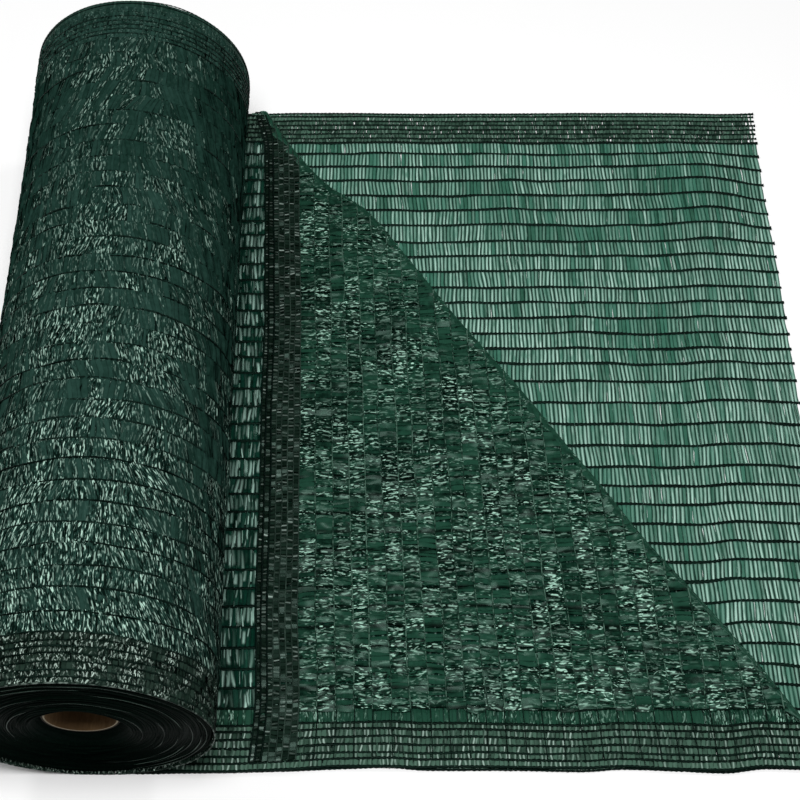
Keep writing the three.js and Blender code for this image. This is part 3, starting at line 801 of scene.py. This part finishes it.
# the run's first row: few painted glints, but for the front corner
strips(tapes, run_map, knit(rng, run_rows[:1], run_low, run_high, 1.16, 0.4, dict(MESS_RUN, patch=(9, 0.25)), 0.95, limit=run_limit,
                            tone=lambda s, t: 0.7 + 0 * s, shine=lambda s, t: 0.1 + 0.5 * np.exp(-(((s - 400) / 60) ** 2))))
tapes.kind = 2
strips(tapes, run_map, knit(rng, selvedge_rows, run_low, run_high, 1.14, 0.0, MESS_SELVEDGE, 0.97, S=2,
                            tone=band_tone, arch=0.2, shine=front_glints, limit=run_limit))
upper = tapes
batch = Batch(("tone",))
ribs_along(batch, run_map, RUN_BODY, run_low, run_high, 2.1, rng, flat=0.5)
ribs_along(batch, run_map, np.concatenate([SELVEDGE_FRONT, SELVEDGE_BACK]), run_low, run_high, 1.9, rng, flat=0.55)

# ---- upper layer: flap -------------------------------------------------------------------------------------
FLAP_SELVEDGE = 50.0
FLAP_ROW = 21.4
FLAP_PITCH = 6.6
def flap_lean(x):
    return -0.035 - 0.00008 * (x + 187)


def flap_x(t, s):
    """The flap's ribs fan a little. t is where a rib is 250 mm behind the middle of the net, s its distance from the front."""
    edge = look(FLAP_EDGE, s) - look(FLAP_EDGE, -250.0)
    share = np.clip((t + 188) / 200, 0, 1)
    return t + edge * (1 - share) + share * flap_lean(t) * (s + 250)


def fan_map(s, t, h):
    return flap_map(s, flap_x(t, s), h)


FLAP_FRONT = -489.0


def flap_low(t):
    s = FLAP_FRONT
    return look(FRONT_EDGE, flap_x(t, s)) + 1.5 + END_SETBACK


TAPES_END = -427.0  # the last stitches of the cut end have shed their tapes


def flap_tapes_low(t):
    return TAPES_END + 2.0 * math.sin(t * 0.07) + 1.5 * math.sin(t * 0.023 + 1)


def flap_limit(s):
    """How far across the flap reaches at a distance from the front, on the scale of its ribs."""
    x = bend_x(s) + 1.0
    t = x
    for _ in range(5):
        t = t + x - flap_x(t, s)
    return t


def flap_high(t):
    """How far back a rib runs: to the fold."""
    s = np.linspace(-499, 492, 400)
    gap = bend_x(s) + 1.2 - flap_x(t, s)
    inside = np.where(gap > 0)[0]
    return s[inside[-1]] if len(inside) else -499.0


left = float(look(FLAP_EDGE, -250.0))
FLAP_SEL = rows_between(left, left + FLAP_SELVEDGE, [5.5, 7.2, 7.4, 7.4, 7.5, 7.5, 7.5])
FLAP_BODY = np.arange(left + FLAP_SELVEDGE, 478, FLAP_ROW)
flap_rows = [r for r in zip(FLAP_BODY[:-1], FLAP_BODY[1:]) if flap_high(r[0]) > TAPES_END + 12]
MESS_FLAP = dict(place=0.12, slant=1.6, cross=1.0, bow=1.1, width=0.10, twist=0.2, turn=0.16, crinkle=0.12, curl=0.3, row=0.04,
                 patch=(5, 0.26), flicker=0.22, tone=0.20)
flap_clusters = waves(61, 30, 120, 9, 2.4)
flap_specks = waves(62, 14, 40, 9, 1.6)


# How strongly painted glints mark the flap: in clusters and specks, fewer towards the front and by the fold, many at
# the front corner, and more over the run's ribs.
def flap_shine(s, t):
    near_fold = smooth(bend_x(s) - t, 60, 20)
    corner = np.exp(-(((t - 400) / 45) ** 2) - (((s + 425) / 40) ** 2))
    front = smooth(s, -90, -230)
    glow = 0.41 - 0.14 * front + 0.28 * flap_clusters(t, s) + 0.22 * flap_specks(t, s) - 0.36 * near_fold + 0.7 * corner
    return np.maximum(glow, 0.10) + 0.40 * over_rib(s, t)


def over_rib(s, t):
    """How nearly a place on the flap lies over a rib of the run, whose darkness is painted on the flap as shade showing
    through, most where the flap lies close.
    """
    x = flap_x(t, s)
    gap = np.full(np.shape(x), 99.0)
    for rib in RUN_BODY:
        gap = np.minimum(gap, np.abs(s + 2.0 - run_map(x, rib + 0 * x, 0 * x)[..., 1]))
    close = 0.25 + 0.75 * smooth(s, 20, -200)
    return close * np.exp(-((gap / 2.5) ** 2)) * np.clip(0.85 + 0.35 * flap_specks(t * 0.8 + 40, s * 0.8), 0, 1)


def flap_tone(s, t):
    """Greener by the fold."""
    return 0.30 * smooth(bend_x(s) - t, 80, 15) - 0.1 + 0.2 * smooth(s, -90, -230) + 0.2 * flap_clusters(t * 0.7 + 90, s)


rng = np.random.default_rng(301)
upper.kind = 1
# the flap's tapes: painted glints from flap_shine, and painted shade over the run's ribs through the veil
strips(upper, fan_map, knit(rng, flap_rows, flap_tapes_low, flap_high, 1.12, 0.0, MESS_FLAP, 0.90, S=5, arch=1.0, shine=flap_shine,
                            tone=flap_tone, limit=flap_limit, pitch=FLAP_PITCH), across=5, veil=lambda s, t: np.minimum(0.94, 1.5 * over_rib(s, t)))
# the flap's selvedge: its two outer rows are painted darker still, as shade along the flap's free edge, with few
# painted glints
upper.kind = 3
strips(upper, fan_map, knit(rng, list(zip(FLAP_SEL[:-1], FLAP_SEL[1:])), flap_low, flap_high, 1.08, 0.0,
                            dict(MESS_SELVEDGE, glow=0.2), 0.97, S=2, arch=0.3, limit=flap_limit,
                            tone=lambda s, t: np.where(t < FLAP_SEL[2], -0.6, -0.1)))
batch.kind = 1
ribs_along(batch, fan_map, FLAP_BODY[1:], lambda t: TAPES_END, flap_high, 0.95, rng, height=0.6, wobble=1.3, fleck=0.6, dip=0.5)
batch.kind = 2
ribs_along(batch, fan_map, FLAP_SEL[3:], flap_low, flap_high, 1.0, rng, height=0.6)
batch.kind = 0
ribs_along(batch, fan_map, FLAP_BODY[1:], flap_low, lambda t: TAPES_END + 4.0, 0.75, rng, height=-0.4)
# the outer selvedge ribs are near-black, partly as painted shade along the flap's free edge
ribs_along(batch, fan_map, FLAP_SEL[:3], flap_low, flap_high, 1.7, rng, height=0.4)

# ---- upper layer: the bend ---------------------------------------------------------------------------------
# Tapes lie along the fold, drawn smooth over it.
y_line = np.linspace(-498, 500, 260)
bend_r = LOOP_GAP / 2 + T / 2
bend_z = RUN_BASE + T + LOOP_GAP / 2
upper.kind = 1
angles = np.linspace(-0.5 * math.pi, 0.5 * math.pi, 6)
for first in range(5):
    a0, a1 = angles[first], angles[first + 1]
    a = np.linspace(a0 - 0.08, a1 + 0.08, 3)[None, :]
    x = look(FOLD, y_line)[:, None] - (LOOP_GAP / 2 + T) + (bend_r + 0.25 * (first % 2)) * np.cos(a)
    z = bend_z + (bend_r + 0.25 * (first % 2)) * np.sin(a) + 0 * x
    y = y_line[:, None] + 0 * x
    upper.grid(np.stack([x, y, z], -1)[None], tone=0.3 + 0.1 * first)

inward = np.array([0.0, 0.3, 0.65, 1.0])[None, :] * (7.5 + 2.5 * flap_specks(y_line, 0 * y_line))[:, None]
x = bend_x(y_line)[:, None] + 0.5 - inward
y = y_line[:, None] + 0 * x
lie = np.array([0.35, 0.9, 0.8, -0.1])[None, :]
upper.grid(np.stack([x, y, flap_height(x, y) + lie], -1)[None], tone=0.45)

upper_tapes = upper.build("upper_tapes", TAPE_RUN, TAPE_FLAP, TAPE_BAND, TAPE_DARK)
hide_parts("upper_sheet")
upper_ribs = batch.build("upper_ribs", CORD, CORD_FLAP, CORD_FINE)

# ---- roll --------------------------------------------------------------------------------------------------
ROLL_SEL = 56.0
ROLL_BODY = rows_between(NEAR_Y + ROLL_SEL, FAR_Y - ROLL_SEL, 26.5 + row_rng.normal(0, 0.4, ROW_COUNT))
ROLL_NEAR = rows_between(NEAR_Y + 1.5, NEAR_Y + ROLL_SEL, [7, 8, 8, 8, 8, 8, 8])[:-1]
ROLL_FAR = rows_between(FAR_Y - ROLL_SEL, FAR_Y - 1.5, [8, 8, 8, 8, 8, 8, 9])[1:]
AROUND = 2 * math.pi * ROLL_R
start = -math.pi / 2 * ROLL_R


def round_low(t):
    return start + 0.0 * t


def round_high(t):
    return start + AROUND + 0.0 * t


MESS_ROLL = dict(place=0.10, slant=4.0, cross=0.6, bow=0.9, width=0.10, twist=0.2, turn=0.16, crinkle=0.08, curl=0.3, row=0.08,
                 every=9, patch=(12, 0.12), flicker=0.20, tone=0.14)
roll_clusters = waves(71, 40, 150, 9, 1.0)
roll_specks = waves(72, 16, 50, 9, 1.0)


def roll_shine(s, t):
    """More crumpled and glinting towards the near end: how strongly painted glints mark the outer turn, less on both
    flanks, with a patch of them left of the top by the far end.
    """
    side = np.cos(s / ROLL_R)
    flank = 0.35 * smooth(side, 0.55, 0.95) + 0.35 * smooth(side, -0.6, -0.95)
    level = np.interp(t, [-450, -320, -180, -60, 120, 300], [0.98, 0.88, 0.56, 0.40, 0.16, 0.02])
    vary = 1.0 - 0.55 * smooth(t, 80, 300)
    glint = 0.8 * np.exp(-(((s - 258) / 55) ** 2) - (((t - 305) / 42) ** 2)) * np.clip(0.4 + roll_specks(s * 1.4, t * 2.0), 0, 1)
    least = 0.08 + 0.32 * smooth(t, -270, -340)
    return np.maximum(level + vary * (0.26 * roll_clusters(s, t) + 0.20 * roll_specks(s, t)), least) - flank + glint


def roll_lean(s, t):
    """The tapes of the outer turn are dragged askew, most by the near end and on the side of the run."""
    side = np.cos(s / ROLL_R)
    glint = 14.0 * np.exp(-(((s - 258) / 75) ** 2) - (((t - 305) / 55) ** 2))
    return (glint - 8.0 * smooth(side, -0.1, 0.7) + 4.0 * smooth(side, -0.2, -0.9)
            - 7.0 * smooth(t, -330, -430) * smooth(side, -0.9, 0.0) + 3.0 * roll_clusters(s * 1.3 + 50, t))


def roll_painted_shade(s, t):
    """Painted shade: darker towards the far end, and on both flanks of the roll."""
    side = np.cos(s / ROLL_R)
    return 0.15 - 0.40 * smooth(t, -300, 300) - 0.35 * smooth(side, 0.5, 0.9) - 0.30 * smooth(side, -0.5, -0.95)


rng = np.random.default_rng(401)
roll = Batch()
roll_rows = list(zip(ROLL_BODY[:-1], ROLL_BODY[1:]))
strips(roll, make_roll_map(1.4), knit(rng, roll_rows, round_low, round_high, 1.3, roll_lean, MESS_ROLL, 0.94, S=5, arch=0.8,
                                      shine=roll_shine, tone=roll_painted_shade))
roll_sel_rows = (list(zip(ROLL_NEAR, np.append(ROLL_NEAR[1:], ROLL_BODY[0])))
                 + list(zip(np.append(ROLL_BODY[-1], ROLL_FAR[:-1]), ROLL_FAR)))
roll.kind = 2
# the near selvedge rows: painted glints, fewer on the right flank as painted shade
strips(roll, make_roll_map(1.4), knit(rng, roll_sel_rows[:len(ROLL_NEAR)], round_low, round_high, 1.15, 0.0,
                                      dict(MESS_SELVEDGE, slant=3.5), 0.95, S=3, arch=0.4,
                                      shine=lambda s, t: 0.72 + 0.3 * roll_specks(s, t) - 0.5 * smooth(np.cos(s / ROLL_R), 0.35, 0.85)))
roll.kind = 0
# the far selvedge rows: painted darker, and lighter towards the top as painted light, with few painted glints
strips(roll, make_roll_map(1.4), knit(rng, roll_sel_rows[len(ROLL_NEAR):], round_low, round_high, 1.15, 0.0,
                                      dict(MESS_SELVEDGE, slant=3.0, flicker=0.08), 0.97, S=2, arch=0.3,
                                      tone=lambda s, t: -0.25 + 0.2 * np.sin(s / ROLL_R), shine=lambda s, t: 0.10 + 0 * s))
roll.kind = 1
lip_y = np.array([FAR_Y - 16.0, FAR_Y - 8.0, FAR_Y - 1.0, FAR_Y + 4.0, FAR_Y + 9.0])
lip_in = np.array([3.0, 2.8, 1.8, 1.5, 1.4])
lip_s = np.linspace(start, start + AROUND, 241)
lip_t = lip_y[:, None] + 0 * lip_s[None, :]
lip_points = make_roll_map(0.0)(lip_s[None, :] + 0 * lip_t, lip_t, -lip_in[:, None])
for k in range(0, 240, 2):
    # drawn as the tapes it is made of: two steps round are one tape
    piece = np.swapaxes(lip_points[:, k:k + 3], 0, 1)
    roll.grid(np.swapaxes(piece, 0, 1)[None], tone=float(np.clip(rng.normal(0.45, 0.12), 0, 1)), shine=float(rng.uniform(0.05, 0.4)),
              seed=float(rng.uniform(0.02, 1.0)), side=np.broadcast_to(np.array([-1.0, 0.0, 1.0])[None, None, :], (1, 5, 3)),
              along=np.broadcast_to(np.linspace(0, 1, 5)[None, :, None], (1, 5, 3)))
roll.kind = 0
# the turn beneath, seen through the gaps, painted a little darker as shade under the outer turn
strips(roll, make_roll_map(2.6), knit(rng, roll_rows, round_low, round_high, 1.0, -0.8, MESS_ROLL, 0.8, S=3, arch=0.3,
                                      tone=lambda s, t: -0.2 + 0 * s, shine=roll_shine))
roll_tapes = roll.build("roll_tapes", TAPE_ROLL, TAPE_LIP, TAPE_NEAR)

batch = Batch(("tone",))


def rib_sink(s, t):
    """Towards the far end the ribs lie under the tapes of the turn."""
    away = smooth(np.cos(s / ROLL_R), 0.75, 0.35)
    return 0.5 * smooth(t, -260, -100) + 0.6 * smooth(t, -60, 200) + 1.2 * smooth(t, 330, 380) * (away - 0.7)


ribs_along(batch, make_roll_map(1.2), ROLL_BODY, round_low, round_high, 1.15, rng, wobble=1.2, height=0.0, fleck=0.25, dip=0.7,
           sink=rib_sink)
ribs_along(batch, make_roll_map(1.2), ROLL_NEAR[1:], round_low, round_high, 1.0, rng, wobble=0.9, height=0.0, fleck=0.25, dip=0.5)
ribs_along(batch, make_roll_map(1.2), ROLL_FAR[:-2], round_low, round_high, 1.2, rng, wobble=0.4, height=0.1, fleck=0.3, dip=0.2,
           sink=lambda s, t: 0.5 * smooth(np.cos(s / ROLL_R), 0.75, 0.35))
ribs_along(batch, make_roll_map(1.4), np.array([FAR_Y + 4.5]), round_low, round_high, 0.9, rng, wobble=0.6, height=0.1, fleck=0.2, dip=0.2)
batch.kind = 1
# the near rim cord, painted light as a highlight along the rim
ribs_along(batch, make_roll_map(1.0), ROLL_NEAR[:1], round_low, round_high, 0.9, rng, wobble=0.5, height=0.1, fleck=0.7)
batch.kind = 2
ribs_along(batch, make_roll_map(1.4), np.array([FAR_Y + 9.0]), round_low, round_high, 0.8, rng, wobble=0.8, height=0.0, fleck=0.4)
roll_ribs = batch.build("roll_ribs", CORD_ROLL, CORD_EDGE, CORD_FINE)

# The wound body under the outer turns, dished at its ends, coloured near-black as painted shade
BODY_IN = 4.4
outline = [(42.6, NEAR_Y + 33.0)] + [(r, NEAR_Y + inset + 6.0) for r, inset in END_PROFILE[:-1]]
outline += [(200.0, y) for y in np.linspace(NEAR_Y + 9.0, FAR_Y - 7.0, 34)]
outline += [(r, FAR_Y - inset - 4.5) for r, inset in reversed(END_PROFILE[:-1])] + [(42.6, FAR_Y - 33.0)]
outline = np.array(outline)
a = np.linspace(0, 2 * math.pi, 129)[:-1]
limit = roll_radius(a[None, :], outline[:, 1][:, None]) - BODY_IN
grid = np.stack([
    roll_x(outline[:, 1])[:, None] + np.minimum(outline[:, 0][:, None], limit) * np.cos(a)[None, :],
    outline[:, 1][:, None] + 0 * a[None, :],
    np.maximum(ROLL_Z + np.minimum(outline[:, 0][:, None], limit) * np.sin(a)[None, :], 0.9),
], -1)[None]
grid = np.concatenate([grid, grid[:, :1]], 1)
batch = Batch(("tone",))
batch.grid(grid[:, :, ::-1], around=True, tone=0.5)
wound_body = batch.build("wound_body", DARK)
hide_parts("wound_roll")


def spiral_end(batch, end, seed):
    """The edges of the turns, as one spiral: each turn's edge is a thin lip that stands a little in or out."""
    r = np.random.default_rng(seed)
    turns, per = 34, 110
    n = turns * per
    phi = np.arange(n + 1) / per * 2 * math.pi
    radius = 44.5 + (141.0 - 44.5) * phi / phi[-1]
    stand = np.interp(np.arange(n + 1), np.arange(0, n + 1, 9), r.normal(0, 1.1, len(np.arange(0, n + 1, 9))))
    stand = stand + np.interp(np.arange(n + 1), np.arange(0, n + 1, 41), r.normal(0, 1.3, len(np.arange(0, n + 1, 41))))
    squeeze = np.interp(np.arange(n + 1), np.arange(0, n + 1, 23), r.normal(0, 0.5, len(np.arange(0, n + 1, 23))))
    prof = np.array(END_PROFILE, float)
    inset = np.interp(radius, prof[:, 0], prof[:, 1]) + 3.6 + np.clip(stand, -2.5, 3.5)
    rr = (radius + squeeze)[:, None] + np.array([-0.75, -0.15, 0.55, 0.85])[None, :]
    depth = inset[:, None] + np.array([9.0, 0.0, 0.35, 9.0])[None, :]
    y = NEAR_Y + depth if end == "near" else FAR_Y - depth
    spin = phi if end == "near" else -phi
    x = roll_x(y) + rr * np.cos(spin)[:, None]
    z = ROLL_Z + rr * np.sin(spin)[:, None]
    batch.grid(np.stack([x, y, np.maximum(z, 0.3)], -1)[None], tone=0.6)


def end_arcs(batch, end, seed):
    """Edges of turns that stand out from the rest, with a painted highlight along a part of their way round."""
    r = np.random.default_rng(seed)
    prof = np.array(END_PROFILE, float)
    for radius, middle, span in ((139.0, 95, 70), (137.5, 150, 50), (134.0, -25, 42), (131.0, 75, 45), (128.0, -38, 35), (123.0, 125, 45),
                                 (119.0, -20, 38), (114.0, -45, 24), (111.0, 40, 35), (104.0, -40, 30), (97.0, 150, 45), (90.0, -10, 30),
                                 (83.0, 80, 40), (74.0, 160, 35), (66.0, 20, 40)):
        count = int(radius * math.radians(span) * 2 / 6.0)
        phi = np.radians(np.linspace(middle - span, middle + span, count))
        if end == "far":
            phi = math.pi - phi
        rr = radius + soft_walk(r, count, 7, 0.9) + soft_walk(r, count, 3, 0.25)
        depth = np.interp(rr, prof[:, 0], prof[:, 1]) + 1.3 + soft_walk(r, count, 5, 0.4)
        thick = (0.30 * np.sin(np.linspace(0, math.pi, count)) ** 0.5 + 0.05) * np.clip(1 + soft_walk(r, count, 3, 0.5), 0.3, 1.5)
        a = (np.arange(4) + 0.5) / 4 * 2 * math.pi
        rr = rr[:, None] + thick[:, None] * np.cos(a)[None, :]
        depth = depth[:, None] + thick[:, None] * np.sin(a)[None, :]
        y = NEAR_Y + depth if end == "near" else FAR_Y - depth
        # inner arcs, inside 105 mm radius, get a dimmer painted highlight, as shade towards the core
        bright = r.uniform(0.45, 1.0) * (0.45 if radius < 105 else 1.0)
        shade = np.clip(bright * (1 + soft_walk(r, count, 4, 0.7)), 0, 2)[None, :, None]
        batch.grid(np.stack([roll_x(y) + rr * np.cos(phi)[:, None], y, ROLL_Z + rr * np.sin(phi)[:, None]], -1)[None], around=True,
                   tone=np.broadcast_to(shade, (1, count, 4)))


batch = Batch(("tone",))
spiral_end(batch, "near", 501)
spiral_end(batch, "far", 502)
batch.kind = 1
end_arcs(batch, "near", 511)
end_arcs(batch, "far", 512)
wound_ends = batch.build("wound_ends", END_EDGE, CORD_FINE)

# ---- core --------------------------------------------------------------------------------------------------
board = cardboard_material()
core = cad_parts["core_tube"]
core.data.materials.clear()
core.data.materials.append(board)

# ------------------------------------------------------------------------------------------------------------
# Floor, light and camera
# ------------------------------------------------------------------------------------------------------------
me = bpy.data.meshes.new("floor")
me.from_pydata([(-8, -8, 0), (8, -8, 0), (8, 8, 0), (-8, 8, 0)], [], [(0, 1, 2, 3)])
floor = bpy.data.objects.new("floor", me)
bpy.context.scene.collection.objects.link(floor)
m, nt = new_material("floor_white")
out = node(nt, "ShaderNodeOutputMaterial", 400, 0)
white = node(nt, "ShaderNodeBsdfPrincipled", 100, 0)
white.inputs["Base Color"].default_value = (0.93, 0.93, 0.93, 1)
white.inputs["Roughness"].default_value = 0.7
white.inputs["Specular IOR Level"].default_value = 0.1
nt.links.new(white.outputs[0], out.inputs[0])
me.materials.append(m)

world = bpy.data.worlds.new("studio")
bpy.context.scene.world = world
world.use_nodes = True
world.node_tree.nodes["Background"].inputs[0].default_value = (1, 1, 1, 1)
world.node_tree.nodes["Background"].inputs[1].default_value = 0.20


def softbox(name, place, target, size, power):
    data = bpy.data.lights.new(name, "AREA")
    data.shape, data.size, data.size_y = "RECTANGLE", size[0], size[1]
    data.energy = power
    o = bpy.data.objects.new(name, data)
    bpy.context.scene.collection.objects.link(o)
    o.location = place
    d = [t - p for t, p in zip(target, place)]
    from mathutils import Vector
    o.rotation_mode = "QUATERNION"
    o.rotation_quaternion = Vector(d).to_track_quat("-Z", "Y")
    return o


softbox("top", (0.0, -0.7, 3.0), (0.0, -0.1, 0.0), (1.2, 1.0), 80)
softbox("back_left", (-1.7, 1.5, 1.9), (-0.1, 0.0, 0.0), (0.6, 0.5), 15)
softbox("back_right", (1.8, 1.4, 2.0), (0.1, 0.0, 0.0), (0.6, 0.5), 12)

camera = bpy.data.cameras.new("camera")
camera.lens, camera.sensor_width = 67.41, 36.0
camera.clip_start, camera.clip_end = 0.05, 50
cam = bpy.data.objects.new("camera", camera)
bpy.context.scene.collection.objects.link(cam)
cam.location = (-0.014, -1.039, 1.677)
cam.rotation_euler = (math.radians(31.8), 0, 0)
bpy.context.scene.camera = cam
bpy.context.scene.view_settings.view_transform = "Standard"
bpy.context.scene.view_settings.look = "None"

bpy.context.view_layer.update()
